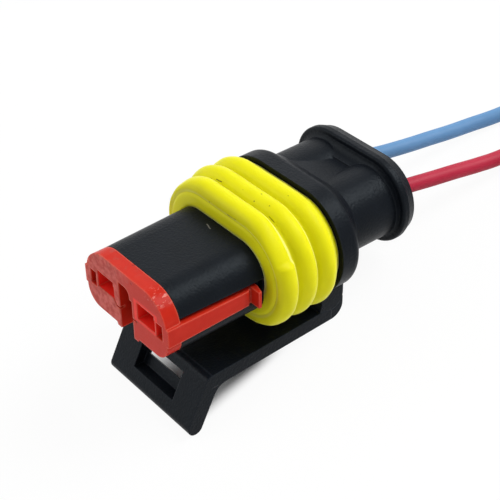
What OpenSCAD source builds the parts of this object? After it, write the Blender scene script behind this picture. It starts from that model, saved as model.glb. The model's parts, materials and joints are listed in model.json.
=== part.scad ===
// Two-way sealed plug for 6 mm pitch female contacts, with a sprung latch under the
// mating nose, a slide-in secondary lock, an interface seal and two wire leads.
// The plug lies latch-down, as it comes to rest on a table: nose up, leads trailing behind.
// Every piece is drawn on the plug's own axis (+Y to the rear, +Z away from the latch)
// and is then laid down by resting().

/* [Contacts] */
// Distance between the two contact ways
pitch = 6; // [5.6:0.1:6.6]
// Width of a contact cavity and of the window in front of it
cavity_w = 2.45; // [2.3:0.05:2.6]
// Height of a contact cavity and of the window in front of it
cavity_h = 1.8; // [1.7:0.05:2]

/* [Nose] */
// Radius of the upper corners of the nose where it meets the seal
nose_r = 3.2; // [3.1:0.05:3.4]
// How much smaller that radius is at the front end of the nose
nose_draft = 0.25; // [0:0.05:0.4]
// Depth of the flat underside of the nose below its axis
nose_deep = 3.3; // [3.2:0.05:3.6]
// Distance from the front face of the plug to the interface seal
nose_len = 10.5; // [10:0.1:12]

/* [Secondary lock] */
// Thickness of the front plate of the lock
plate_t = 1.5; // [1.2:0.1:1.8]
// Outer width of the lock over its two arms
arms_w = 12.4; // [12.2:0.1:13]
// Thickness of a lock arm
arm_t = 0.9; // [0.7:0.05:1]
// Height of a lock arm where it leaves the front plate
arm_h = 1.85; // [1.6:0.05:2.1]
// How far the lock slides forward from locked to pre-set
lock_travel = 1.5; // [1:0.1:1.8]

/* [Seals] */
// Radius of the interface seal over its ribs
seal_r = 5.9; // [5.8:0.05:6.2]
// Length of the interface seal
seal_len = 7.3; // [7.3:0.1:8]
// Distance from one sealing rib to the next
rib_step = 2.25; // [2:0.05:2.6]
// Number of sealing ribs
seal_ribs = 3; // [2:1:3]
// Radius of a wire seal over its ribs
wire_seal_r = 2.35; // [2.2:0.05:2.5]

/* [Rear body] */
// Radius of the flange behind the interface seal
flange_r = 5.4; // [5.2:0.1:5.7]
// Thickness of the flange
flange_t = 2.3; // [2:0.1:2.8]
// Radius of each of the two rear barrels
barrel_r = 3.7; // [3.5:0.1:4]
// Radius of the rear lip
lip_r = 4.5; // [4.2:0.05:4.8]
// Thickness of the rear lip
lip_t = 1.8; // [1.4:0.1:2.2]
// Overall length from the front face to the rear face
plug_len = 27.9; // [27:0.1:30]
// Height of the rear barrels above the axis of the nose
rear_rise = 0.65; // [0.2:0.05:0.8]

/* [Latch] */
// Width of the latch
latch_w = 12.2; // [12:0.1:14]
// Width of the window in the finger lip that catches on the mating half
window_w = 6; // [5:0.1:8]
// Thickness of the latch plate
latch_t = 1.4; // [1.2:0.05:1.6]
// Distance of the latch plate's upper face below the axis of the nose
latch_gap = 6.75; // [6.6:0.05:7.2]
// How far the latch plate falls between its root and its bend
latch_drop = 0.4; // [0:0.05:0.6]
// Forward lean of the finger lip from upright
lip_lean = 27; // [20:1:34]
// Depth of the finger lip's end below the axis of the nose
lip_deep = 12.95; // [12:0.05:13.5]
// Thickness of the finger lip
finger_t = 1.6; // [1.3:0.05:1.8]

/* [Leads] */
// Outer diameter of each insulated lead
lead_d = 1.5; // [1.4:0.05:1.7]
// Diameter of the strand bundle inside a lead
core_d = 0.9; // [0.8:0.05:1]

/* [Hidden] */

$fn = 64;
eps = 0.01;

black = "#16181a";
lock_red = "#c8372a";
seal_yellow = "#dcdc0c";
wire_blue = "#6ea0d6";
wire_red = "#c83c50";
tin = "#b9bcc0";

way_x = pitch / 2;
fit = 0.04;

// Stations along the plug
lock_depth = 5;
seal_y = nose_len;
flange_y = seal_y + seal_len;
barrel_y = flange_y + flange_t;
lip_y = plug_len - lip_t;
bore_y = flange_y - 0.2;
seal_end_y = plug_len - 1.3;
face_gap = 0.05;

// Round edges of the flange and of the rear lip, and the cove in front of that lip
shoulder_r = 0.8;
rim_r = 0.25;
cove_r = 1.1;
lip_rise = 0.15;
lip_land = 0.7;
lip_draft = 0.35;

// Ribs, seat and front collar of the interface seal
rib_r = 1;
rib_y = seal_y + 1.1;
seat_r = seal_r - 1.65;
collar_r = seal_r - 1;

// Lock: height and taper of the arms, head room over them, and the square hooks at their ends
arm_z = -0.48;
arm_taper = 0.15;
arm_head = 0.3;
hook_y = nose_len - 0.8;
hook_t = 0.6;
hook_out = 0.9;
relief_len = 0.4;
relief_deep = 0.22;
block_r = 2.35;
block_deep = 2.7;
block_side = 2.25;

// Lock: blind pockets beside the windows, the keying slot and the grooves that lead to it
pocket_x = 4.92;
pocket_z = -0.35;
pocket_w = 0.9;
pocket_h = 1.6;
pocket_deep = 3;
slot_left = -0.93;
slot_right = 1;
slot_neck = 0.65;
slot_top = 1.5;
shoulder_z = 0.5;
groove_deep = 0.5;
groove_w = 0.22;
foot_deep = 0.3;
foot_w = 0.55;
foot_slope = 0.45;

// Contact: sheet metal box, core crimp and seal crimp, all from one strip
sheet_t = 0.22;
strip_w = 1.2;
box_y = lock_depth + 0.1;
box_len = 6.2;
box_w = cavity_w - 0.1;
box_h = cavity_h - 0.1;
core_y = box_y + box_len + 1.3;
core_crimp_len = 2.6;
neck_y = bore_y + 0.3;
neck_len = 2.7;
neck_r = lead_d / 2 + 0.35;
bead_r = 0.6;
bead_step = 1.6;
core_z = sheet_t + core_d / 2 - box_h / 2;
splice = 0.6;

// Latch: hinge line in the root under the flange
root_t = 2.66;
root_top_z = -3.4;
root_rear_y = barrel_y - 0.05;
hinge_y = root_rear_y - root_t / 2;
hinge_z = 1.05 - latch_gap;
hinge_fit = 0.03;
hinge_r = root_t / 2 - hinge_fit;
ear_gap = 0.3;
latch_low = latch_gap + latch_t;
corner_r = 1.4;
bend_y = 3.75;
bend_r = 1.6;
bend_z = -latch_gap - latch_drop;
bend_low = bend_z - latch_t;
tip_r = finger_t / 2;

// Window in the finger lip: its sill, and the web that closes it behind up to a slot
sill_z = 2.1 - lip_deep;
web_top_z = sill_z + 1;
web_t = 0.6;
slot_slope = 50;

// Centre of the rounded end of the finger lip, in the plane across the hinge
tip_z = tip_r - lip_deep;
tip_y = bend_y + tip_r - (bend_z - tip_r - tip_z) * tan(lip_lean);
corner_y = root_rear_y - corner_r;
corner_z = corner_r - latch_low;

// Fillet under the bend: its length on each side, and the station where it meets the plate
fillet_t = bend_r * (1 - sin(lip_lean)) / cos(lip_lean);
fillet_y = lip_face(bend_low, 0) + fillet_t;

// Attitude at rest: the line under the lip's end and the latch's rear corner is the table
span_y = corner_y - tip_y;
span_z = corner_z - tip_z;
rest_pitch = atan2(span_z, span_y) + asin((tip_r - corner_r) / norm([span_y, span_z]));
rest_lift = tip_y * sin(rest_pitch) - tip_z * cos(rest_pitch) + tip_r;
rest_front = tip_y * cos(rest_pitch) + tip_z * sin(rest_pitch) - tip_r;
rest_rear = (plug_len - rim_r) * cos(rest_pitch)
            + (rear_rise + lip_rise + lip_r - lip_draft - rim_r) * sin(rest_pitch) + rim_r;
rest_mid = (rest_front + rest_rear) / 2;

// Leads outside the plug: over the table to the coil, in the plug's place at rest
blue_route = [[-2.8, 16.4, 5.05], [-2.3, 19, 4.1], [-1.8, 21.5, 3.3], [-1.4, 24, 2.5],
              [-0.95, 26.45, 1.75], [-0.45, 28.95, 1], [0.15, 31.45, 0.78], [1.2, 34.5, 0.78],
              [2.9, 37.6, 0.78], [5.2, 40.4, 0.8], [8, 42.8, 0.85], [11.2, 44.4, 0.95], [14, 44.95, 1.05]];
red_route = [[3.55, 16.5, 4.9], [4.1, 19, 4.1], [4.6, 21.5, 3.3], [5.1, 24, 2.45],
             [5.65, 26.45, 1.9], [6.2, 29, 1.95], [6.75, 31.5, 2.2], [7.35, 34.2, 2.5], [7.95, 36.6, 2.55]];
coil_at = [17, 36];
coil_turns_r = 9;
coil_inner_r = 6;
layer_t = lead_d;
tie_t = 0.3;
tie_w = 2;
tie_head = 2.2;
tie_high = 1.3;
tie_turn = -40;
bare_r = 4.9;
bare_turn = 70;
blue_end = 100;
red_end = 165;

function laid(p) = let(c = cos(rest_pitch), s = sin(rest_pitch))
    [p.x, p.y * c + p.z * s - rest_mid, p.z * c - p.y * s + rest_lift];

// Lays a piece drawn on the plug's axis down on the table
module resting()
    translate([0, -rest_mid, rest_lift]) rotate([-rest_pitch, 0, 0]) children();

// Extrudes an outline in x and z from y0 over a length towards the rear
module along(y0, len)
    translate([0, y0 + len, 0]) rotate([90, 0, 0]) linear_extrude(len) children();

// Extrudes an outline in y and z from x0 over a width across the plug
module across(x0, w)
    translate([x0, 0, 0]) rotate([90, 0, 90]) linear_extrude(w) children();

// Turns a profile of radius and station into a body with two round ends, one on each way
module obround(half) {
    for (s = [-1, 1]) translate([s * half, 0, 0]) rotate([-90, 0, 0]) rotate_extrude() children();
    rotate([0, 90, 0]) translate([0, 0, -half]) linear_extrude(2 * half) {
        children();
        mirror([1, 0]) children();
    }
}

module round_bar(x, z, r, y0, len)
    translate([x, y0, z]) rotate([-90, 0, 0]) cylinder(r = r, h = len);

// Outline of the nose: round upper corners, squarer underside
module nose_outline(r, deep) {
    low_r = 1.7;
    for (s = [-1, 1]) {
        translate([s * way_x, 0]) circle(r);
        translate([s * (way_x + r - low_r), low_r - deep]) circle(low_r);
    }
    translate([-way_x, 0]) square([pitch, r]);
    translate([-way_x - r, low_r - deep]) square([pitch + 2 * r, deep - low_r]);
    translate([low_r - way_x - r, -deep]) square([pitch + 2 * (r - low_r), deep]);
}

// Channels in the sides of the nose for the arms of the lock, with head room over each arm
module arm_channels(y0, len)
    for (s = [0, 1]) mirror([s, 0, 0])
        along(y0, len)
            translate([arms_w / 2 - arm_t - fit, arm_z - arm_h / 2 - fit])
                square([arm_t + 2, arm_h + 2 * fit + arm_head]);

// Direction of a route at one of its points, and the ring of a tube there
function heading(p, k) =
    let(d = p[min(k + 1, len(p) - 1)] - p[max(k - 1, 0)]) d / norm(d);
function ring(p, k, r) =
    let(d = heading(p, k), side = cross(d, [0, 0, 1]) / norm(cross(d, [0, 0, 1])), up = cross(side, d))
    [for (a = [0:45:315]) p[k] + r * (cos(a) * side + sin(a) * up)];

// Sweeps an eight-sided tube along a route
module tube(p, r) {
    last = 8 * (len(p) - 1);
    polyhedron([for (k = [0:len(p) - 1]) each ring(p, k, r)],
               [[for (i = [0:7]) i],
                for (b = [0:8:last - 8], i = [0:7]) [b + i, b + 8 + i, b + (i + 1) % 8],
                for (b = [0:8:last - 8], i = [0:7]) [b + 8 + i, b + 8 + (i + 1) % 8, b + (i + 1) % 8],
                [for (i = [7:-1:0]) last + i]]);
}

// ---- housing -------------------------------------------------------------

module nose() {
    front = plate_t + face_gap;
    small = nose_r - nose_draft;
    difference() {
        union() {
            obround(way_x) polygon([[0, front], [small, front], [nose_r, seal_y], [0, seal_y]]);
            along(front, seal_y - front) nose_outline(small, nose_deep);
        }
        arm_channels(0, seal_y + eps);
    }
    along(seal_y - eps, 1 + 2 * eps) nose_outline(small, nose_deep);
}

module seal_seat()
    obround(way_x) translate([0, seal_y + 1]) square([seat_r, seal_len]);

module flange()
    obround(way_x) {
        translate([0, flange_y]) square([flange_r, flange_t - shoulder_r]);
        translate([0, flange_y]) square([flange_r - shoulder_r, flange_t]);
        translate([flange_r - shoulder_r, barrel_y - shoulder_r]) circle(shoulder_r, $fn = 32);
    }

// Two barrels with a lower web between them, whose front end spreads into the flange
module barrels() {
    spread = 0.9;
    valley = 0.8;
    translate([0, 0, rear_rise]) {
        for (s = [-1, 1]) round_bar(s * way_x, 0, barrel_r, flange_y + rim_r, plug_len - flange_y - 2 * rim_r);
        obround(way_x)
            polygon([[0, flange_y + rim_r], [barrel_r + spread, barrel_y - spread / 2],
                     [barrel_r, barrel_y + spread], [barrel_r - valley, lip_y], [0, lip_y]]);
    }
}

// Lip round the rear opening: a cove, a short land, then a draft to the rear face
module rear_lip() {
    rear_r = lip_r - lip_draft;
    translate([0, 0, rear_rise + lip_rise]) obround(way_x + 0.05) {
        difference() {
            translate([0, lip_y - cove_r]) square([barrel_r + rim_r, cove_r + eps]);
            translate([barrel_r + 2 * rim_r, lip_y - cove_r + eps]) circle(cove_r, $fn = 32);
        }
        polygon([[0, lip_y], [lip_r - rim_r, lip_y], [lip_r, lip_y + rim_r], [lip_r, lip_y + lip_land],
                 [rear_r, plug_len - rim_r], [rear_r - rim_r, plug_len], [0, plug_len]]);
        translate([lip_r - rim_r, lip_y + rim_r]) circle(rim_r, $fn = 32);
        translate([rear_r - rim_r, plug_len - rim_r]) circle(rim_r, $fn = 32);
    }
}

module latch_root() {
    across(-latch_w / 2, latch_w)
        translate([root_rear_y - root_t, hinge_z]) square([root_t, root_top_z - hinge_z]);
    translate([-latch_w / 2, hinge_y, hinge_z]) rotate([0, 90, 0]) cylinder(r = hinge_r, h = latch_w);
}

module housing_solid() {
    nose();
    seal_seat();
    flange();
    barrels();
    rear_lip();
    latch_root();
}

// Outline of the lock's inner block, and of the pocket that it fills
module lock_block_outline(grow = 0)
    intersection() {
        nose_outline(block_r + grow, block_deep + grow);
        square([2 * (way_x + block_side + grow), 3 * nose_r], center = true);
    }

module housing() resting() color(black)
    difference() {
        housing_solid();
        along(0, lock_depth + 0.1) lock_block_outline(fit);
        for (s = [-1, 1]) {
            along(0, bore_y + eps) translate([s * way_x, 0]) square([cavity_w, cavity_h], center = true);
            round_bar(s * way_x, rear_rise, wire_seal_r, bore_y, plug_len);
        }
    }

// ---- latch ---------------------------------------------------------------

// Station on the finger lip at a height, some way in front of its back face
function lip_face(z, before) = tip_y + (tip_r - before) / cos(lip_lean) + (z - tip_z) * tan(lip_lean);

// Side view of the latch: plate, root, and a finger lip that leans forward from the bend
module latch_profile() {
    difference() {
        union() {
            polygon([[bend_y + tip_r, bend_low], [bend_y + tip_r, bend_z], [corner_y, -latch_gap],
                     [corner_y, -latch_low], [fillet_y, bend_low]]);
            translate([corner_y, corner_z]) circle(corner_r);
            translate([root_rear_y - root_t, corner_z]) square([root_t, hinge_z - ear_gap - corner_z]);
            finger_profile();
            bend_fillet();
        }
        translate([hinge_y, hinge_z]) circle(hinge_r + hinge_fit);
    }
}

module finger_profile() {
    head = [bend_y + tip_r, bend_z - tip_r];
    tip = [tip_y, tip_z];
    out = tip_r * [cos(lip_lean), -sin(lip_lean)];
    for (end = [head, tip]) translate(end) circle(tip_r, $fn = 32);
    polygon([head + out, head - out, tip - out, tip + out]);
}

// Fillet between the plate's underside and the lip's back face
module bend_fillet() {
    lap = 0.35;
    lip_z = bend_low - fillet_t * cos(lip_lean);
    difference() {
        polygon([[lip_face(bend_low, lap), bend_low + lap], [fillet_y, bend_low + lap], [fillet_y, bend_low],
                 [lip_face(lip_z, 0), lip_z], [lip_face(lip_z, lap), lip_z]]);
        translate([fillet_y, bend_low - bend_r]) circle(bend_r, $fn = 32);
    }
}

// Side view of what the window takes away: a recess down to its sill, and a slot above the web
// that slopes down through the lip to the rear
module window_profile() {
    back_y = bend_y + 3 * finger_t;
    web_y = lip_face(web_top_z, web_t);
    top_y = lip_face(-latch_low, finger_t);
    polygon([[0, sill_z], [lip_face(sill_z, web_t), sill_z], [web_y, web_top_z],
             [back_y, web_top_z - (back_y - web_y) * tan(slot_slope)],
             [back_y, -latch_low - (back_y - top_y) * tan(slot_slope)],
             [top_y, -latch_low], [0, -latch_low]]);
}

module latch() resting() color(black)
    difference() {
        across(-latch_w / 2, latch_w) latch_profile();
        across(-window_w / 2, window_w) window_profile();
    }

// ---- secondary lock --------------------------------------------------------

// Front view of the lock: the nose's outline, the arms, and a foot on each side of the slot
module lock_outline() {
    nose_outline(nose_r - nose_draft, nose_deep);
    translate([0, arm_z]) square([arms_w, arm_h], center = true);
    low = -nose_deep - foot_deep;
    for (side = [[slot_left, -1], [slot_right, 1]]) translate([side[0], low]) scale([side[1], 1])
        polygon([[0, 1], [0, 0], [foot_w, 0], [foot_w + foot_slope, 1]]);
}

// Side arm that tapers to the rear, with a relief in front of the square hook at its end
module lock_arm() {
    out = arms_w / 2;
    top = arm_z + arm_h / 2;
    low = arm_z - arm_h / 2;
    front_y = hook_y - hook_t;
    relief_y = front_y - relief_len;
    intersection() {
        translate([0, 0, low]) linear_extrude(arm_h)
            polygon([[out - arm_t, 0], [out, 0], [out, relief_y], [out - relief_deep, relief_y + relief_deep],
                     [out - relief_deep, front_y], [out + hook_out, front_y], [out + hook_out, front_y + hook_t / 2],
                     [out, hook_y], [out - arm_t, hook_y]]);
        across(0, out + hook_out)
            polygon([[0, low], [0, top], [plate_t, top], [front_y, top - arm_taper], [front_y, top],
                     [hook_y, top], [hook_y, low + arm_taper], [front_y, low + arm_taper], [plate_t, low]]);
    }
}

// Window for a blade, a little wider below the shoulder on the side of the red lead
module blade_window() {
    step = 0.1;
    square([cavity_w, cavity_h], center = true);
    translate([0, -cavity_h / 2]) square([cavity_w / 2 + step, cavity_h / 2 + shoulder_z]);
}

// Upright slot between the ways that keys the plug: round at its top right, wider below its shoulder
module key_slot() {
    round_r = 0.7;
    translate([slot_left, -nose_deep - 1])
        square([slot_right - slot_left, nose_deep + 1 + shoulder_z]);
    translate([slot_left, 0]) square([slot_neck - round_r - slot_left, slot_top]);
    translate([slot_neck - round_r, 0]) square([round_r, slot_top - round_r]);
    translate([slot_neck - round_r, slot_top - round_r]) circle(round_r, $fn = 32);
}

// Shallow grooves from the slot: one to the blue way's window, one short one beside the red way's
module key_grooves() {
    high = -0.8;
    knee = -1.3;
    start_x = cavity_w / 2 - way_x - 0.15;
    polygon([[start_x, high], [start_x + groove_w, high], [start_x + 2.5 * groove_w, knee],
             [slot_left + eps, knee], [slot_left + eps, knee - groove_w],
             [start_x + 2 * groove_w, knee - groove_w]]);
    translate([slot_right - eps, knee - groove_w]) square([3 * groove_w, groove_w]);
}

module secondary_lock() resting() color(lock_red)
    difference() {
        union() {
            along(0, plate_t) lock_outline();
            along(0, lock_depth) lock_block_outline();
            for (s = [0, 1]) mirror([s, 0, 0]) lock_arm();
        }
        for (s = [-1, 1]) {
            along(-1, lock_depth + 2) translate([s * way_x, 0]) blade_window();
            along(-1, pocket_deep + 1)
                translate([s * pocket_x, pocket_z]) square([pocket_w, pocket_h], center = true);
        }
        along(-1, lock_depth + 2) key_slot();
        along(-1, groove_deep + 1) key_grooves();
    }

// ---- seals -----------------------------------------------------------------

module interface_seal() resting() color(seal_yellow)
    difference() {
        obround(way_x) {
            translate([0, seal_y]) square([collar_r, seal_len]);
            for (k = [0:seal_ribs - 1])
                translate([seal_r - rib_r, rib_y + k * rib_step]) circle(rib_r, $fn = 32);
        }
        obround(way_x) translate([0, seal_y + 1]) square([seat_r, seal_len]);
        along(0, seal_y + 2) nose_outline(nose_r - nose_draft, nose_deep);
    }

// Ribbed plug round a wire, with a thin neck that the contact's wings hold
module wire_seal(x) resting() color(seal_yellow) {
    body_y = neck_y + neck_len + 0.3;
    translate([x, 0, rear_rise]) rotate([-90, 0, 0]) rotate_extrude() difference() {
        union() {
            translate([0, neck_y]) square([neck_r, neck_len + 0.5]);
            translate([0, body_y]) square([wire_seal_r - bead_r + 0.1, seal_end_y - body_y]);
            for (y = [seal_end_y - 1.5 * bead_r:-bead_step:body_y + bead_r])
                translate([wire_seal_r - bead_r, y]) circle(bead_r, $fn = 32);
        }
        square([lead_d / 2, plug_len]);
    }
}

module blue_wire_seal() wire_seal(-way_x);
module red_wire_seal() wire_seal(way_x);

// ---- contacts --------------------------------------------------------------

// Spring tongue under the roof of the contact's box, bowed down to press the mating blade
module contact_spring() {
    bow_r = 3.9;
    bow_t = 0.16;
    bow_deep = 0.5;
    roof_z = box_h / 2 - sheet_t;
    across(-strip_w / 2, strip_w) translate([box_y + box_len / 2, roof_z]) difference() {
        translate([0, bow_r - bow_deep]) difference() {
            circle(bow_r);
            circle(bow_r - bow_t);
        }
        translate([-bow_r - 1, eps]) square(2 * bow_r + 2);
    }
}

// Strip between the box and the crimps: a floor that follows the wire up to the seal
module contact_floor(y0, y1)
    translate([-strip_w / 2, y0, -box_h / 2]) cube([strip_w, y1 - y0, sheet_t]);

module terminal(x) resting() color(tin) translate([x, 0, 0]) {
    difference() {
        translate([-box_w / 2, box_y, -box_h / 2]) cube([box_w, box_len, box_h]);
        translate([sheet_t - box_w / 2, box_y - eps, sheet_t - box_h / 2])
            cube([box_w - 2 * sheet_t, box_len + 2 * eps, box_h - 2 * sheet_t]);
    }
    contact_spring();
    contact_floor(box_y, neck_y + neck_len);
    difference() {
        round_bar(0, core_z, core_d / 2 + sheet_t, core_y, core_crimp_len);
        round_bar(0, core_z, core_d / 2, core_y - 1, core_crimp_len + 2);
    }
    seal_crimp();
}

// Two wings that close over the neck of the wire seal, a little short of both its ends
module seal_crimp() {
    bare = 0.2;
    gap = 0.3;
    difference() {
        union() {
            round_bar(0, rear_rise, neck_r + sheet_t, neck_y + bare, neck_len - 2 * bare);
            translate([-strip_w / 2, neck_y + bare, -box_h / 2])
                cube([strip_w, neck_len - 2 * bare, box_h / 2 + rear_rise]);
        }
        round_bar(0, rear_rise, neck_r, neck_y - 1, neck_len + 2);
        translate([-gap / 2, neck_y - 1, rear_rise]) cube([gap, neck_len + 2, 2 * neck_r]);
    }
}

module blue_terminal() terminal(-way_x);
module red_terminal() terminal(way_x);

// ---- leads -----------------------------------------------------------------

// Strands that show on both sides of their crimp, then rise to the middle of the lead
module crimped_core(x) color(tin)
    tube([for (p = [[core_y - core_d / 2, core_z], [core_y + core_crimp_len + sheet_t, core_z],
                    [neck_y - core_d, (core_z + rear_rise) / 2], [neck_y, rear_rise], [neck_y + splice, rear_rise]])
             laid([x, p[0], p[1]])], core_d / 2);

// Straight part of a lead in its seal, then its route over the table
function lead_path(x, route) = concat([for (y = [neck_y + splice, neck_y + 4, seal_end_y - 1.5, seal_end_y])
                                          laid([x, y, rear_rise])], route);

module blue_crimped_core() crimped_core(-way_x);
module red_crimped_core() crimped_core(way_x);
module blue_lead() color(wire_blue) tube(lead_path(-way_x, blue_route), lead_d / 2);
module red_lead() color(wire_red) tube(lead_path(way_x, red_route), lead_d / 2);

module coil(layer)
    translate([coil_at.x, coil_at.y, tie_t + (layer + 0.5) * layer_t]) rotate_extrude() {
        translate([coil_inner_r, -layer_t / 2]) square([coil_turns_r - coil_inner_r, layer_t]);
        for (r = [coil_inner_r, coil_turns_r]) translate([r, 0]) circle(lead_d / 2, $fn = 32);
    }

module bare_end(layer, turn) color(tin)
    translate([coil_at.x, coil_at.y, tie_t + (layer + 0.5) * layer_t]) rotate([0, 0, turn - bare_turn])
        rotate_extrude(angle = bare_turn) translate([bare_r, 0]) circle(core_d / 2, $fn = 32);

module blue_coil() color(wire_blue) coil(0);
module red_coil() color(wire_red) coil(1);
module blue_bare_end() bare_end(0, blue_end);
module red_bare_end() bare_end(1, red_end);

// Band round both coils, with its head on top and its cut end through the head
module coil_tie() color(black) {
    inner = coil_inner_r - lead_d / 2 - tie_t / 2;
    outer = coil_turns_r + lead_d / 2 + eps;
    high = tie_t + 2 * layer_t;
    translate([coil_at.x, coil_at.y, 0]) rotate([0, 0, tie_turn]) {
        difference() {
            translate([inner - tie_t, -tie_w / 2, 0]) cube([outer - inner + 2 * tie_t, tie_w, high + tie_t]);
            translate([inner, -tie_w, tie_t]) cube([outer - inner, 2 * tie_w, 2 * layer_t]);
        }
        translate([inner + tie_head / 2, 0, high + tie_high / 2])
            cube([tie_head, tie_w * 1.4, tie_high], center = true);
        translate([inner - tie_head / 4, -tie_w / 2, high + tie_high / 2]) cube([tie_head, tie_w, tie_t]);
    }
}

housing();
latch();
secondary_lock();
interface_seal();
blue_terminal();
red_terminal();
blue_wire_seal();
red_wire_seal();
blue_crimped_core();
red_crimped_core();
blue_lead();
red_lead();
blue_coil();
red_coil();
blue_bare_end();
red_bare_end();
coil_tie();
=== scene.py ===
"""Looks of a sealed two-way connector plug: finishes for its moulded and stamped pieces, its ribbed seal
as a soft shell, and both wire leads at their full length. Sizes that come from the plug's design are in
millimetres on the plug's own axes, and on_plug() or MM turns them into the metres of the frame."""

import json
import math

import bmesh
import bpy
from mathutils import Matrix, Vector


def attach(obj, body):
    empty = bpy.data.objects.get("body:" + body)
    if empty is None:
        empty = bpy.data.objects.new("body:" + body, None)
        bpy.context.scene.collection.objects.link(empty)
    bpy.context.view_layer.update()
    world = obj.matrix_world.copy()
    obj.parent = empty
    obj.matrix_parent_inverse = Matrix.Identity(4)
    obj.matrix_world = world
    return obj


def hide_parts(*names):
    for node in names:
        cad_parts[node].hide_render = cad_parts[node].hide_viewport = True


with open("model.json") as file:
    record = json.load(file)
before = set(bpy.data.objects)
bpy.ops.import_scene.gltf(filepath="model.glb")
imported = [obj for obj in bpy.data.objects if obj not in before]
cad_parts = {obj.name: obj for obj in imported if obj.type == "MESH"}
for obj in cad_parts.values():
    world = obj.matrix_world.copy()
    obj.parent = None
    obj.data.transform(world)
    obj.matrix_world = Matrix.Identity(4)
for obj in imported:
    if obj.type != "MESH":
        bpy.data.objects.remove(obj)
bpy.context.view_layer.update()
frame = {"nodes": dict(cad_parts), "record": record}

MM = 0.001
NODES = frame["nodes"]
MOUNTS = {mount["name"]: mount for mount in frame["record"]["mounts"]}

# The plug's own axes: x across, y to the rear from its front face, z away from the latch
PLUG_FRONT = Vector(MOUNTS["mating_front"]["pos_m"])
PLUG_REAR = -Vector(MOUNTS["mating_front"]["axis"]).normalized()
PLUG_ACROSS = Vector((1, 0, 0))
PLUG_UP = PLUG_ACROSS.cross(PLUG_REAR)

# Half the distance between the two ways, how far the rear bores lie above them, and the plug's length
WAY_X = 3.0
REAR_RISE = 0.65
PLUG_LEN = 27.9


def plug_way(x, y, z):
    """A direction given on the plug's own axes."""
    return PLUG_ACROSS * x + PLUG_REAR * y + PLUG_UP * z


def on_plug(x, y, z):
    """A point given in millimetres on the plug's own axes."""
    return PLUG_FRONT + plug_way(x, y, z) * MM


# ---- camera and lamps --------------------------------------------------------

# The camera's place and its right and up directions, on the plug's axes
CAMERA_AT = (74.843, -46.388, 70.11)
CAMERA_RIGHT = (0.6340, 0.7732, -0.0119)
CAMERA_UP = (-0.4549, 0.3853, 0.8029)
LENS = 93.6
SENSOR = 36

# Each lamp's place, the side of its square face and its power, in metres and watts
LAMPS = {"overhead_back": ((0.12, 0.26, 0.26), 0.20, 1.25),
         "back_left": ((-0.30, 0.30, 0.22), 0.30, 0.25),
         "front_left": ((-0.30, -0.26, 0.24), 0.30, 0.7)}
LAMPS_AIM = Vector((0, 0, 0.006))


def make_camera():
    """A long lens from above, ahead of the plug's front and on the side of its red lead."""
    lens = bpy.data.cameras.new("camera")
    lens.lens = LENS
    lens.sensor_width = SENSOR
    lens.clip_start = 0.005
    camera = bpy.data.objects.new("camera", lens)
    bpy.context.scene.collection.objects.link(camera)
    camera.location = on_plug(*CAMERA_AT)
    right = plug_way(*CAMERA_RIGHT).normalized()
    back = right.cross(plug_way(*CAMERA_UP)).normalized()
    camera.rotation_mode = "QUATERNION"
    camera.rotation_quaternion = Matrix((right, back.cross(right), back)).transposed().to_quaternion()
    bpy.context.scene.camera = camera


def make_softbox(name, place, size, power):
    """A square lamp that faces the plug."""
    light = bpy.data.lights.new(name, "AREA")
    light.shape = "RECTANGLE"
    light.size = light.size_y = size
    light.energy = power
    lamp = bpy.data.objects.new(name, light)
    bpy.context.scene.collection.objects.link(lamp)
    lamp.location = place
    lamp.rotation_mode = "QUATERNION"
    lamp.rotation_quaternion = (LAMPS_AIM - Vector(place)).to_track_quat("-Z", "Y")


# ---- cords -------------------------------------------------------------------

LEAD_D = 1.5

# Where each lead runs straight through its bore and seal, in mm behind the plug's front
BORE_STATIONS = (18.5, 21.9, 25.1, 26.6)

# From the rear lip to the coil, in mm in the frame
BLUE_ROUTE = [(-2.8, 16.4, 5.05), (-2.3, 19, 4.1), (-1.8, 21.5, 3.3), (-1.4, 24, 2.5),
              (-0.95, 26.45, 1.75), (-0.45, 28.95, 1.12), (0.4, 31.35, 0.8), (1.6, 34.3, 0.78),
              (3.15, 37.4, 0.78), (5.2, 40.4, 0.8), (8, 42.8, 0.85), (11.2, 44.4, 0.95), (14, 44.95, 1.05)]
RED_ROUTE = [(3.55, 16.5, 4.9), (4.1, 19, 4.1), (4.6, 21.5, 3.3), (5.1, 24, 2.45),
             (5.7, 26.45, 1.85), (6.4, 28.9, 1.75), (7.0, 31.4, 2.05), (7.45, 34.2, 2.5), (7.95, 36.6, 2.55)]

# The coil, which winds inwards on top of its tie
COIL_AT = (17, 36)
COIL_OUTER_R = 9.0
COIL_INNER_R = 6.0
COIL_TURNS = 2
COIL_KNOTS = 32
TIE_T = 0.3

# The bare end carries on from the last turn and bends in to a smaller radius
BARE_R = 4.9
BARE_TURN = 70
BARE_KNOTS = 26
BARE_SETTLES = 2.6

# Each lead: its way across the plug, its route, its layer in the coil and the direction where it joins it
LEADS = {"blue": (-WAY_X, BLUE_ROUTE, 0, 100),
         "red": (WAY_X, RED_ROUTE, 1, 165)}


def coil_point(r, turn, layer):
    """A point on a coil's centreline: radius in mm, direction in degrees, layer counted from the table."""
    a = math.radians(turn)
    return Vector((COIL_AT[0] + r * math.cos(a), COIL_AT[1] + r * math.sin(a),
                   TIE_T + (layer + 0.5) * LEAD_D)) * MM


def lead_line(way, route, layer, start):
    """Centreline of a lead: straight through its seal, over the table, then round the coil inwards."""
    line = [on_plug(way, y, REAR_RISE) for y in BORE_STATIONS]
    line += [Vector(p) * MM for p in route]
    for k in range(COIL_KNOTS + 1):
        share = k / COIL_KNOTS
        r = COIL_OUTER_R + (COIL_INNER_R - COIL_OUTER_R) * share
        line.append(coil_point(r, start - 360 * COIL_TURNS * share, layer))
    return line


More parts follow.
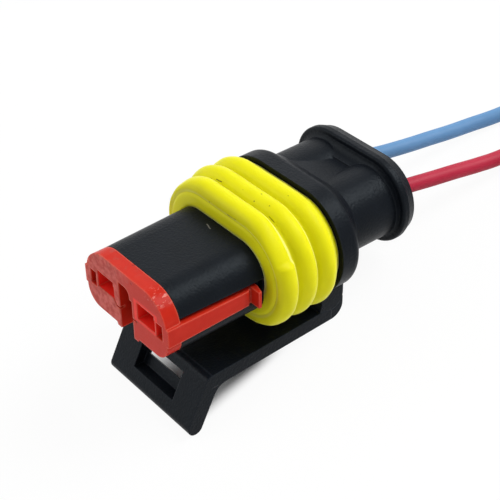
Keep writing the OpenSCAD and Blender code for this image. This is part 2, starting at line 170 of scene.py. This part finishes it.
def bare_line(layer, start):
    """Centreline of a lead's bare end, from inside the last turn of its insulation."""
    line = []
    for k in range(BARE_KNOTS):
        share = k / (BARE_KNOTS - 1)
        r = BARE_R + (COIL_INNER_R - BARE_R) * (1 - min(1, share * BARE_SETTLES)) ** 2
        line.append(coil_point(r, start - BARE_TURN * share, layer))
    return line


def length_of(line):
    """Length along a line of points."""
    return sum((b - a).length for a, b in zip(line, line[1:]))


def make_cord(name, line, diameter):
    """A round cord as one open curve through the points of its line."""
    curve = bpy.data.curves.new(name, "CURVE")
    curve.dimensions = "3D"
    curve.bevel_depth = diameter / 2
    curve.bevel_resolution = 5
    curve.resolution_u = 6
    curve.use_fill_caps = True
    spline = curve.splines.new("BEZIER")
    spline.bezier_points.add(len(line) - 1)
    for knot, p in zip(spline.bezier_points, line):
        knot.co = p
        knot.handle_left_type = knot.handle_right_type = "AUTO"
    cord = bpy.data.objects.new(name, curve)
    bpy.context.scene.collection.objects.link(cord)
    return cord


# ---- nodes -------------------------------------------------------------------

# Points of a finished piece that lie nearer than this, in mm, become one
SAME_POINT = 0.0005


class Value:
    """A socket that takes part in Python sums; its maker adds the nodes that they need."""

    def __init__(self, maker, socket):
        self.maker, self.socket = maker, socket

    def maths(self, operation, *others):
        return self.maker.maths(operation, self, *others)

    def __add__(self, other): return self.maker.maths("ADD", self, other)
    def __radd__(self, other): return self.maker.maths("ADD", other, self)
    def __sub__(self, other): return self.maker.maths("SUBTRACT", self, other)
    def __rsub__(self, other): return self.maker.maths("SUBTRACT", other, self)
    def __mul__(self, other): return self.maker.maths("MULTIPLY", self, other)
    def __rmul__(self, other): return self.maker.maths("MULTIPLY", other, self)
    def __truediv__(self, other): return self.maker.maths("DIVIDE", self, other)
    def __rtruediv__(self, other): return self.maker.maths("DIVIDE", other, self)

    def larger(self, other): return self.maths("MAXIMUM", other)
    def smaller(self, other): return self.maths("MINIMUM", other)

    def between(self, low, high):
        """0 at low and 1 at high, level beyond them and smooth in between."""
        return self.maker.node("ShaderNodeMapRange", {"Value": self, "From Min": low, "From Max": high},
                               interpolation_type="SMOOTHSTEP")


class Maker:
    """Adds nodes to a tree: node() takes a node's type, the values or links of its sockets, and its
    settings, and gives its output as a Value."""

    def __init__(self, tree):
        self.tree = tree

    def node(self, kind, inputs=None, out=0, **settings):
        made = self.tree.nodes.new(kind)
        for key, value in settings.items():
            setattr(made, key, value)
        for key, value in (inputs or {}).items():
            self.feed(made.inputs[key], value)
        return Value(self, made.outputs[out])

    def feed(self, socket, value):
        """Links a Value to a socket, or each of a list of them, or sets the socket's number or colour."""
        for one in value if isinstance(value, list) else [value]:
            if isinstance(one, Value):
                self.tree.links.new(one.socket, socket)
            else:
                socket.default_value = one

    def maths(self, operation, *terms):
        """A Math node on numbers."""
        return self.node("ShaderNodeMath", dict(enumerate(terms)), operation=operation)

    def vector(self, operation, *terms, out=0, **named):
        """A Vector Math node on vectors, with any other sockets by name."""
        return self.node("ShaderNodeVectorMath", {**dict(enumerate(terms)), **named}, out,
                         operation=operation)

    def parts(self, vector):
        """The x, y and z of a vector."""
        split = self.node("ShaderNodeSeparateXYZ", {0: vector}).socket.node
        return [Value(self, socket) for socket in split.outputs]

    def joined(self, x, y, z):
        """A vector from its x, y and z."""
        return self.node("ShaderNodeCombineXYZ", {0: x, 1: y, 2: z})


class Rule(Maker):
    """A Geometry Nodes tree with named sizes, which makes a piece whose shape follows a rule."""

    def __init__(self, name, **sizes):
        super().__init__(bpy.data.node_groups.new(name, "GeometryNodeTree"))
        self.sizes = {}
        self.add_input("Start", "Geometry")
        for size, value in sizes.items():
            self.sizes[self.add_input(size, "Int" if isinstance(value, int) else "Float")] = value
        self.finish_id = self.add_input("finish", "Material")
        self.tree.interface.new_socket("Piece", in_out="OUTPUT", socket_type="NodeSocketGeometry")
        self.given = self.tree.nodes.new("NodeGroupInput")

    def add_input(self, name, kind):
        """Adds an input to the tree and gives its identifier."""
        socket = self.tree.interface.new_socket(name, in_out="INPUT", socket_type="NodeSocket" + kind)
        return socket.identifier

    def size(self, name):
        """The value of an input by its name."""
        return Value(self, self.given.outputs[name])

    def geometry(self, kind, inputs=None, out=0, **settings):
        """A Geometry Nodes node by its short type."""
        return self.node("GeometryNode" + kind, inputs, out, **settings)

    def end(self, shape):
        """Closes the tree: the shape is realized, smooth and dressed in the finish."""
        shape = self.geometry("SetShadeSmooth", {0: shape})
        shape = self.geometry("RealizeInstances", {0: shape})
        shape = self.geometry("SetMaterial", {0: shape, "Material": self.size("finish")})
        self.feed(self.tree.nodes.new("NodeGroupOutput").inputs[0], shape)

    def piece(self, name, finish, start=None, place=None):
        """The rule's shape as a plain mesh, made from a start where it needs one, and set at a place."""
        if start is None:
            start = bpy.data.meshes.new(name + "_start")
        holder = bpy.data.objects.new(name + "_start", start)
        bpy.context.scene.collection.objects.link(holder)
        modifier = holder.modifiers.new(name, "NODES")
        modifier.node_group = self.tree
        for identifier, value in self.sizes.items():
            modifier[identifier] = value
        modifier[self.finish_id] = finish
        evaluated = holder.evaluated_get(bpy.context.evaluated_depsgraph_get())
        mesh = bpy.data.meshes.new_from_object(evaluated)
        bpy.data.objects.remove(holder)
        if place is not None:
            mesh.transform(place)
        shape = bmesh.new()
        shape.from_mesh(mesh)
        bmesh.ops.remove_doubles(shape, verts=shape.verts, dist=SAME_POINT * MM)
        bmesh.ops.recalc_face_normals(shape, faces=shape.faces)
        shape.to_mesh(mesh)
        shape.free()
        mesh.name = name
        made = bpy.data.objects.new(name, mesh)
        bpy.context.scene.collection.objects.link(made)
        return made


# ---- interface seal ----------------------------------------------------------

SEAL_Y = 10.5
SEAL_LEN = 7.3
RIBS = 3
RIB_R = 1.0
RIB_STEP = 2.25
FIRST_RIB = 1.1

# Degrees that each rib's round reaches on either side of its crest
RIB_REACH = 78

# Points along a rib's round, along each rounded corner of the way round the bores, and on the whole way
CREST_POINTS = 19
CORNER_POINTS = 24
ROUND_POINTS = 216

# Ends of section lines nearer than this, in mm, are joined
JOINT = 0.002

# The thin front lip, in mm out from the grip and behind the sleeve's front, which rolls over to a groove
FRONT_LIP = [(0.0, 0.06), (0.5, 0.02), (1.0, 0.0), (1.22, 0.02), (1.34, 0.07), (1.42, 0.14), (1.49, 0.20),
             (1.57, 0.17), (1.67, 0.13), (1.80, 0.11)]

# The foot of that lip, in mm out from the ribs' roots and behind the sleeve's front
LIP_FOOT = (0.08, 0.10)

# The rounded rear corner, in mm in from the ribs' roots and ahead of the sleeve's end
REAR_CORNER = [(0.02, 0.3), (0.1, 0.06), (0.3, 0.02)]

# How deep the rubber gives, in mm: the slack front rib on the left, its worn step, and the waves all over
SLACK_DEPTH = 0.58
WORN_DEPTH = 0.48
WAVE_DEPTH = 0.11


def seal_section(rule):
    """The sleeve's outline laid flat: x runs out from the grip, and y to the rear from its front."""
    rib_r, rib_step, first_rib = rule.size("rib_r"), rule.size("rib_step"), rule.size("first_rib")
    grip_r, seat_y, length = rule.size("grip_r"), rule.size("seat_y"), rule.size("length")
    ribs, valley = rule.size("ribs"), rule.size("valley")
    root = rule.size("seal_r") - rib_r - grip_r
    seat = rule.size("seat_r") - grip_r
    turned = math.radians(RIB_REACH)
    reach_out, reach_on = rib_r * math.cos(turned), rib_r * math.sin(turned)
    last_rib = first_rib + (ribs - 1) * rib_step

    def line(start, end):
        ends = {"Start": rule.joined(*start, 0.0), "End": rule.joined(*end, 0.0)}
        return rule.geometry("CurvePrimitiveLine", ends)

    def at_each_rib(shape, count):
        """The shape once for each of so many ribs, from the first rib's root."""
        first, on = rule.joined(root, first_rib, 0.0), rule.joined(0.0, rib_step, 0.0)
        marks = rule.geometry("MeshLine", {"Count": count, "Start Location": first, "Offset": on},
                              mode="OFFSET")
        copies = rule.geometry("InstanceOnPoints", {"Points": marks, "Instance": shape})
        return rule.geometry("RealizeInstances", {0: copies})

    crest = rule.geometry("CurveArc", {"Resolution": CREST_POINTS, "Radius": rib_r, "Start Angle": -turned,
                                       "Sweep Angle": 2 * turned}, mode="RADIUS")
    low_point = (valley, rib_step / 2)
    crease = rule.geometry("JoinGeometry", {0: [line((reach_out, reach_on), low_point),
                                                line(low_point, (reach_out, rib_step - reach_on))]})
    corners = [(root + reach_out, last_rib + reach_on)]
    corners += [(root - inwards, length - ahead) for inwards, ahead in REAR_CORNER]
    corners += [(seat, length - REAR_CORNER[-1][1]), (seat, seat_y), (0.0, seat_y)]
    corners += FRONT_LIP
    corners += [(root + LIP_FOOT[0], LIP_FOOT[1]), (root + reach_out, first_rib - reach_on)]
    outline = [line(a, b) for a, b in zip(corners, corners[1:])]
    outline += [at_each_rib(crest, ribs), at_each_rib(crease, ribs - 1)]
    edges = rule.geometry("CurveToMesh", {0: rule.geometry("JoinGeometry", {0: outline})})
    return rule.geometry("MeshToCurve", {0: rule.geometry("MergeByDistance", {0: edges, "Distance": JOINT})})


def seal_sleeve(rule, section):
    """The section taken round both bores at the grip."""
    way, grip_r = rule.size("way"), rule.size("grip_r")
    round_ways = rule.geometry("CurvePrimitiveQuadrilateral",
                               {"Width": (way + grip_r) * 2, "Height": grip_r * 2})
    round_ways = rule.geometry("FilletCurve", {0: round_ways, "Count": CORNER_POINTS, "Radius": grip_r,
                                               "Limit Radius": True}, mode="POLY")
    round_ways = rule.geometry("ResampleCurve", {0: round_ways, "Count": ROUND_POINTS})
    sleeve = rule.geometry("CurveToMesh", {"Curve": round_ways, "Profile Curve": section})
    return rule.geometry("MergeByDistance", {0: sleeve, "Distance": JOINT})


def seal_wear(rule):
    """How far soft rubber gives at each point: a slack front rib with a worn step, and slight waves."""
    way, seat_r, rib_r = rule.size("way"), rule.size("seat_r"), rule.size("rib_r")
    root_r = rule.size("seal_r") - rib_r
    place = rule.geometry("InputPosition")
    x, up, ahead = rule.parts(place)
    nearest = x.larger(way * -1).smaller(way)
    out = rule.vector("SUBTRACT", place, rule.joined(nearest, 0.0, ahead))
    radius = rule.vector("LENGTH", out, out="Value")
    turn = up.maths("ARCTAN2", x - nearest) * math.degrees(1)

    # The front rib ends at the crease that lies 2.2 mm behind the sleeve's front
    on_front_rib = 1 - (ahead * -1).between(2.15, 2.3)
    near_crest = ((radius - root_r) / rib_r).larger(0.0)
    left_side = (x * -1).between(2.5, 8.2)
    worn_step = turn.between(27.5, 29.5) * (1 - turn.between(40, 84)) * x.between(2.5, 3.4)
    given_in = (left_side * SLACK_DEPTH + worn_step * WORN_DEPTH) * on_front_rib * near_crest

    waves = rule.node("ShaderNodeTexNoise", {"Vector": place, "Scale": 0.55, "Detail": 1.5}, out="Fac") - 0.5
    on_outside = (radius - seat_r - 0.2).between(0.0, 0.1)
    return rule.vector("SCALE", rule.vector("NORMALIZE", out),
                       Scale=(waves * WAVE_DEPTH - given_in) * on_outside)


def make_interface_seal(finish):
    """A rubber sleeve of rounded ribs round both ways, gripped on the nose and seated on the body."""
    rule = Rule("ribbed_sleeve", way=WAY_X, seal_r=5.9, ribs=RIBS, rib_r=RIB_R, rib_step=RIB_STEP,
                first_rib=FIRST_RIB, valley=0.10, seat_r=4.3, seat_y=1.2, grip_r=3.05, length=SEAL_LEN)
    sleeve = seal_sleeve(rule, seal_section(rule))
    rule.end(rule.geometry("SetPosition", {0: sleeve, "Offset": seal_wear(rule)}))
    front = on_plug(0, SEAL_Y, 0)
    rows = [(PLUG_ACROSS[i] * MM, PLUG_UP[i] * MM, -PLUG_REAR[i] * MM, front[i]) for i in range(3)]
    return rule.piece("interface_seal_shell", finish, place=Matrix(rows + [(0, 0, 0, 1)]))


# ---- bare strands ------------------------------------------------------------


def make_strands(name, line, finish):
    """Six bright strands laid round a seventh, past the end of the insulation."""
    rule = Rule(name, strands=7, strand_r=0.148 * MM, lay_r=0.29 * MM, turns=0.62)
    copies = rule.geometry("DuplicateElements", {"Geometry": rule.size("Start"),
                                                 "Amount": rule.size("strands")}, domain="SPLINE")
    number = Value(rule, copies.socket.node.outputs["Duplicate Index"])
    last = rule.size("strands") - 1
    along = rule.geometry("SplineParameter", out="Factor")
    angle = (number / last + along * rule.size("turns")) * math.tau
    off_middle = (last - number).smaller(1.0) * rule.size("lay_r")
    side = rule.geometry("InputNormal")
    above = rule.vector("CROSS_PRODUCT", rule.geometry("InputTangent"), side)
    across = rule.vector("SCALE", side, Scale=angle.maths("COSINE") * off_middle)
    over = rule.vector("SCALE", above, Scale=angle.maths("SINE") * off_middle)
    laid = rule.geometry("SetPosition", {0: copies, "Offset": rule.vector("ADD", across, over)})
    ring = rule.geometry("CurvePrimitiveCircle", {"Resolution": 8, "Radius": rule.size("strand_r")})
    rule.end(rule.geometry("CurveToMesh", {"Curve": laid, "Profile Curve": ring, "Fill Caps": True}))

    curve = bpy.data.curves.new(name + "_line", "CURVE")
    curve.dimensions = "3D"
    spline = curve.splines.new("POLY")
    spline.points.add(len(line) - 1)
    for point, p in zip(spline.points, line):
        point.co = (*p, 1)
    return rule.piece(name, finish, start=curve)


# ---- finishes ----------------------------------------------------------------

# Ends of the pale fluff on the nose and of the dark fibres on the seal, on the plug's axes
FLUFF = ((-0.75, 9.7, 3.18), (-0.1, 9.5, 3.18))
FIBRES = [((-3.5, 12.9, 5.2), (-2.8, 12.95, 5.3)), ((3.9, 12.9, 5.1), (5.05, 12.9, 4.7)),
          ((0.9, 10.55, 4.7), (2.1, 10.6, 4.85))]


class Finish(Maker):
    """A surface finish on the Principled shader."""

    def __init__(self, name, **constants):
        self.material = bpy.data.materials.new(name)
        self.material.use_nodes = True
        super().__init__(self.material.node_tree)
        self.shader = self.tree.nodes["Principled BSDF"]
        for socket, value in constants.items():
            self.shader.inputs[socket.replace("_", " ")].default_value = value
        self.place = self.node("ShaderNodeTexCoord", out="Object")
        self.place_mm = self.vector("SCALE", self.place, Scale=1 / MM)

    def grain(self, per_mm, detail=2.0, seed=0.0, stretch=(1, 1, 1)):
        """Noise with that many grains to a millimetre, about 0.5 on average."""
        shifted = self.vector("MULTIPLY_ADD", self.place_mm, stretch, (seed, seed * 1.7, seed * 0.6))
        return self.node("ShaderNodeTexNoise", {"Vector": shifted, "Scale": per_mm, "Detail": detail},
                         out="Fac")

    def blend(self, share, low, high):
        """A colour between low and high."""
        return self.node("ShaderNodeMix", {0: share, 6: low, 7: high}, out=2, data_type="RGBA")

    def along(self, axis, origin=PLUG_FRONT):
        """Distance in mm of the surface from a point, along an axis of the plug."""
        from_origin = self.vector("SUBTRACT", self.place, tuple(origin))
        return self.vector("DOT_PRODUCT", from_origin, tuple(axis), out="Value") * (1 / MM)

    def specks(self, per_mm, size, few=0.0, seed=0.0):
        """1 on scattered dots of that size in mm; few keeps only some of them."""
        shifted = self.vector("ADD", self.place_mm, (seed, seed * 0.7, seed * 1.3))
        cells = self.node("ShaderNodeTexVoronoi", {"Vector": shifted, "Scale": per_mm}, out="Distance")
        dots = 1 - cells.between(size * per_mm * 0.4, size * per_mm * 0.5)
        return dots * self.grain(per_mm * 0.4, 0, seed).between(few, few + 0.04)

    def hair(self, start, end, width=0.09):
        """1 on a short, slightly bent fibre that lies on the surface between two points of the plug."""
        a, b = on_plug(*start), on_plug(*end)
        way = (b - a).normalized()
        noise = self.node("ShaderNodeTexNoise", {"Vector": self.place_mm, "Scale": 0.9}, out="Color")
        bend = self.vector("SCALE", self.vector("SUBTRACT", noise, (0.5, 0.5, 0.5)), Scale=0.3 * MM)
        from_start = self.vector("ADD", self.vector("SUBTRACT", self.place, tuple(a)), bend)
        on_way = self.vector("DOT_PRODUCT", from_start, tuple(way), out="Value")
        nearest = self.vector("SCALE", tuple(way), Scale=on_way.larger(0.0).smaller((b - a).length))
        away = self.vector("DISTANCE", from_start, nearest, out="Value")
        return 1 - away.between(width * 0.4 * MM, width * 0.75 * MM)

    def rounded_normal(self, width_mm):
        """The normal as it would be with sharp edges rounded over that width."""
        return self.node("ShaderNodeBevel", {"Radius": width_mm * MM}, samples=6)

    def edges(self, width_mm):
        """1 along sharp edges and 0 on flat faces, over that width."""
        flat = self.node("ShaderNodeNewGeometry", out="Normal")
        facing = self.vector("DOT_PRODUCT", self.rounded_normal(width_mm), flat, out="Value")
        return (1 - facing).between(0.01, 0.12)

    def paint(self, colour, roughness, bumps=None, depth_mm=0.01, edge_mm=None):
        """Colour, roughness and, where they are given, bumps of a depth and edges rounded over a width."""
        self.feed(self.shader.inputs["Base Color"], colour)
        self.feed(self.shader.inputs["Roughness"], roughness)
        normal = [self.rounded_normal(edge_mm)] if edge_mm else []
        if bumps is not None:
            relief = {"Height": bumps, "Distance": depth_mm * MM, "Normal": normal}
            normal = [self.node("ShaderNodeBump", relief)]
        self.feed(self.shader.inputs["Normal"], normal)
        return self.material


def black_housing():
    """Satin black nylon: fine spark-eroded grain, a faint cloudiness, a painted pale highlight along its
    sharp edges, and a few pale grains of dust.
    """
    finish = Finish("black_nylon_moulding", Specular_IOR_Level=0.08, Specular_Tint=(0.82, 0.93, 1.0, 1))
    deep, faded = (0.0026, 0.0034, 0.0048, 1), (0.0062, 0.0082, 0.0120, 1)
    worn, dusty = (0.030, 0.035, 0.044, 1), (0.22, 0.21, 0.19, 1)
    grain = finish.grain(4.5, detail=3)
    cloud = finish.grain(0.35, seed=5.0)
    dust = finish.specks(0.55, size=0.10, few=0.50, seed=2.0)
    fluff = finish.hair(*FLUFF, width=0.12)
    colour = finish.blend(cloud, deep, faded)
    # Painted pale highlight along the sharp edges
    colour = finish.blend(finish.edges(0.24) * 0.45, colour, worn)
    colour = finish.blend((dust * 0.35 + fluff * 0.7).smaller(1.0), colour, dusty)
    return finish.paint(colour, roughness=0.24 + grain * 0.22 + cloud * 0.06, bumps=grain, depth_mm=0.042,
                        edge_mm=0.14)


def red_lock():
    """Red polyester: frosted on its front face under a painted pale reflection, glossier round its sides,
    with a painted glow round its windows, painted highlights along its edges, and pale scuffs at its rim.
    """
    finish = Finish("red_lock_moulding", Specular_IOR_Level=0.09, Subsurface_Weight=0.30,
                    Subsurface_Scale=0.0015, Subsurface_Radius=(1.0, 0.12, 0.06))
    deep, bright = (0.45, 0.012, 0.004, 1), (0.56, 0.026, 0.011, 1)
    frosted, chalky = (0.42, 0.060, 0.048, 1), (0.56, 0.125, 0.105, 1)
    glowing, worn = (0.85, 0.030, 0.020, 1), (0.74, 0.15, 0.10, 1)
    greyer_dark, scraped, dented = (0.30, 0.075, 0.060, 1), (0.85, 0.40, 0.34, 1), (0.25, 0.010, 0.008, 1)

    station, across, height = (finish.along(axis) for axis in (PLUG_REAR, PLUG_ACROSS, PLUG_UP))
    grain = finish.grain(7, detail=3)
    cloud = finish.grain(0.8, detail=3, seed=3.0)

    # The front face is frosted and carries a painted pale reflection; both fade towards its right side
    frost_and_reflection = (1 - station.between(0.03, 0.12)) * (1 - across.between(-2.0, 1.5) * 0.95)
    mottle = finish.grain(1.7, detail=4, seed=15.0).between(0.35, 0.65)
    face = finish.blend(mottle, frosted, chalky)

    # A painted glow round the two contact windows, where light comes through
    off_middle = across.maths("ABSOLUTE")
    window = off_middle.between(1.2, 1.4) * (1 - off_middle.between(4.6, 4.8))
    window = window * (1 - height.maths("ABSOLUTE").between(1.0, 1.3))
    side = finish.blend(window, finish.blend(cloud, deep, bright), glowing)

    # Marks of use along the top of the rim
    rim = (1 - station.between(1.2, 1.7)) * height.between(2.0, 2.4) * across.between(2.6, 4.4)
    scuffs = finish.grain(4.5, detail=3, seed=8.0, stretch=(1, 0.4, 1)).between(0.56, 0.62) * rim
    dents = finish.specks(0.9, size=0.36, few=0.46, seed=6.0) * height.between(2.2, 2.6)
    # Darker, greyer blotches on the left of the top
    blotches = finish.grain(1.6, detail=3, seed=12.0).between(0.50, 0.66)
    blotches = blotches * height.between(1.6, 2.4) * (1 - across.between(-2, 3))

    colour = finish.blend(frost_and_reflection, side, face)
    # Painted pale highlight along the sharp edges
    colour = finish.blend(finish.edges(0.24) * 0.5, colour, worn)
    colour = finish.blend(blotches * 0.35, colour, greyer_dark)
    colour = finish.blend(scuffs * 0.45, colour, scraped)
    colour = finish.blend(dents * 0.5, colour, dented)
    return finish.paint(colour, roughness=0.28 + frost_and_reflection * 0.22 + grain * 0.10 - scuffs * 0.12,
                        bumps=grain * 0.6 + scuffs * 0.8 - dents * 0.8, depth_mm=0.016, edge_mm=0.18)


def yellow_rubber():
    """Bright yellow silicone: soft sheen, painted pale sheen lines, a painted olive shade on its front band,
    and dust and a few dark fibres caught on it.
    """
    finish = Finish("yellow_silicone", Specular_IOR_Level=0.10, Subsurface_Weight=0.30,
                    Subsurface_Scale=0.0009, Subsurface_Radius=(1.0, 0.85, 0.05), Sheen_Weight=0.55,
                    Sheen_Roughness=0.28, Sheen_Tint=(1.0, 1.0, 0.50, 1))
    warm, bright = (0.68, 0.64, 0.003, 1), (0.77, 0.74, 0.006, 1)
    pale, olive, dirty = (0.86, 0.85, 0.24, 1), (0.42, 0.40, 0.015, 1), (0.05, 0.045, 0.01, 1)
    cloud = finish.grain(0.5, detail=3, seed=2.0)
    grain = finish.grain(6, detail=3)
    dust = finish.specks(0.62, size=0.17, few=0.44)
    station = finish.along(PLUG_REAR, on_plug(0, SEAL_Y, 0))

    # Painted pale sheen lines, a highlight where the rubber turns away: on the rear flank of each rib but
    # the last, and along the front lip
    flank = ((station - FIRST_RIB) / RIB_STEP).maths("FRACT")
    rib_sheen_lines = flank.between(0.26, 0.32) * (1 - flank.between(0.42, 0.50)) * (1 - station.between(4.9, 5.1))
    off_way = (finish.along(PLUG_ACROSS).maths("ABSOLUTE") - WAY_X).larger(0.0)
    radius = (off_way * off_way + finish.along(PLUG_UP).maths("POWER", 2.0)).maths("SQRT")
    lip_sheen_line = radius.between(4.52, 4.60) * (1 - radius.between(4.72, 4.90)) * (1 - station.between(0.25, 0.40))
    # Painted olive shade on the front band, where its front face is less lit
    band = 1 - station.between(0.18, 0.32)
    hairs = sum(finish.hair(start, end) for start, end in FIBRES)

    colour = finish.blend(cloud, warm, bright)
    colour = finish.blend(rib_sheen_lines * 0.8 + lip_sheen_line * 0.25, colour, pale)
    colour = finish.blend(band * 0.12, colour, olive)
    colour = finish.blend((dust * 0.75 + hairs * 0.8).smaller(1.0), colour, dirty)
    return finish.paint(colour, roughness=0.40 + grain * 0.10 + cloud * 0.06,
                        bumps=cloud * 0.5 + grain * 0.5, depth_mm=0.02)


def insulation(name, low, high):
    """Smooth extruded insulation with a soft gloss."""
    finish = Finish(name, Specular_IOR_Level=0.22)
    cloud = finish.grain(0.6, seed=1.0)
    grain = finish.grain(6, detail=3)
    return finish.paint(finish.blend(cloud, low, high), roughness=0.44 + grain * 0.14,
                        bumps=cloud + grain * 0.3, depth_mm=0.02)


def metal(name, low, high, roughness):
    """Bright drawn or stamped metal."""
    finish = Finish(name, Metallic=1.0)
    cloud = finish.grain(1.4, detail=3, seed=4.0)
    grain = finish.grain(9, detail=4)
    return finish.paint(finish.blend(cloud, low, high), roughness=roughness + grain * 0.15, bumps=grain,
                        depth_mm=0.006, edge_mm=0.05)


def tie_nylon():
    """Plain black nylon of the coils' tie."""
    finish = Finish("tie_nylon", Specular_IOR_Level=0.30)
    cloud = finish.grain(0.8, seed=6.0)
    grain = finish.grain(5, detail=3)
    colour = finish.blend(cloud, (0.012, 0.012, 0.013, 1), (0.022, 0.022, 0.024, 1))
    return finish.paint(colour, roughness=0.38 + grain * 0.15, bumps=grain, depth_mm=0.01, edge_mm=0.08)


def dress(piece, material):
    """Gives a piece one finish all over."""
    slots = piece.data.materials
    if len(slots) == 0:
        slots.append(material)
    for k in range(len(slots)):
        slots[k] = material


# ---- making ------------------------------------------------------------------

make_camera()

blue = insulation("blue_insulation", (0.090, 0.225, 0.43, 1), (0.130, 0.28, 0.50, 1))
red = insulation("red_insulation", (0.38, 0.012, 0.036, 1), (0.46, 0.020, 0.052, 1))
copper = metal("bright_copper", (0.72, 0.42, 0.26, 1), (0.80, 0.52, 0.34, 1), 0.25)
tinned = metal("tin_plate", (0.60, 0.60, 0.58, 1), (0.72, 0.72, 0.70, 1), 0.22)
yellow = yellow_rubber()
black = black_housing()

for name, material in {"blue": blue, "red": red}.items():
    way, route, layer, start = LEADS[name]
    line = lead_line(way, route, layer, start)
    lead = make_cord(name + "_wire", line, LEAD_D * MM)
    dress(lead, material)
    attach(lead, "plug")
    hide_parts(name + "_lead", name + "_coil")
    end = make_strands(name + "_strands", bare_line(layer, start), copper)
    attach(end, "plug")
    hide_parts(name + "_bare_end")
    on_plug(way, PLUG_LEN, REAR_RISE)
    round(length_of(line), 3)

seal = make_interface_seal(yellow)
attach(seal, "plug")
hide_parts("interface_seal")

FINISHES = {"housing": black, "latch": black, "secondary_lock": red_lock(), "coil_tie": tie_nylon(),
            "blue_terminal": tinned, "red_terminal": tinned, "blue_crimped_core": copper,
            "red_crimped_core": copper, "blue_wire_seal": yellow, "red_wire_seal": yellow}
for node, material in FINISHES.items():
    dress(NODES[node], material)

# ---- table and light ---------------------------------------------------------

TABLE_HALF = 1.2

# The brightness of the surroundings as a light, from below the horizon to straight above
ROOM_LIGHT = 0.22
SKY_LIGHT = 0.38


def seen_as_backdrop(maker):
    """1 where the eye, a gloss or a glass meets the surroundings, 0 where only their light arrives."""
    rays = maker.node("ShaderNodeLightPath").socket.node.outputs
    camera, glossy, through = (Value(maker, rays[kind]) for kind in
                               ("Is Camera Ray", "Is Glossy Ray", "Is Transmission Ray"))
    return camera.larger(glossy).larger(through)


def make_table():
    """A plain white table that glows to the eye, but not right below the plug, where its own shade shows;
    under the latch's slot the glow fades out from left to right as painted light.
    """
    half = TABLE_HALF
    mesh = bpy.data.meshes.new("table")
    mesh.from_pydata([(-half, -half, 0), (half, -half, 0), (half, half, 0), (-half, half, 0)], [],
                     [(0, 1, 2, 3)])
    table = bpy.data.objects.new("table", mesh)
    bpy.context.scene.collection.objects.link(table)
    finish = Finish("white_table")
    finish.paint((0.88, 0.88, 0.88, 1), roughness=0.6)
    x, y = finish.parts(finish.place_mm)[:2]
    # Under the latch's slot the glow fades from full on the left to none on the right: painted light from
    # the left under the latch
    below = x.between(-7.5, -0.5) * (1 - x.between(4.0, 5.8))
    below = below * y.between(-13.1, -12.1) * (1 - y.between(-6.0, -2.0))
    lit = Value(finish, finish.shader.outputs[0])
    glow = finish.node("ShaderNodeEmission", {"Color": (1, 1, 1, 1), "Strength": 1.0})
    share = seen_as_backdrop(finish) * (1 - below) * 0.93
    mixed = finish.node("ShaderNodeMixShader", {0: share, 1: lit, 2: glow})
    finish.feed(finish.tree.nodes["Material Output"].inputs["Surface"], mixed)
    dress(table, finish.material)


def light_room():
    """Soft light that comes mostly from above, before a white backdrop."""
    world = bpy.data.worlds.new("studio")
    bpy.context.scene.world = world
    world.use_nodes = True
    room = Maker(world.node_tree)
    height = room.parts(room.node("ShaderNodeTexCoord", out="Generated"))[2]
    light = ROOM_LIGHT + height.between(-0.1, 1.0) * SKY_LIGHT
    seen = seen_as_backdrop(room)
    background = room.tree.nodes["Background"].inputs
    background["Color"].default_value = (1, 1, 1, 1)
    room.feed(background["Strength"], light * (1 - seen) + seen)
    for name, (place, size, power) in LAMPS.items():
        make_softbox(name, place, size, power)


make_table()
light_room()
bpy.context.scene.view_settings.view_transform = "Standard"
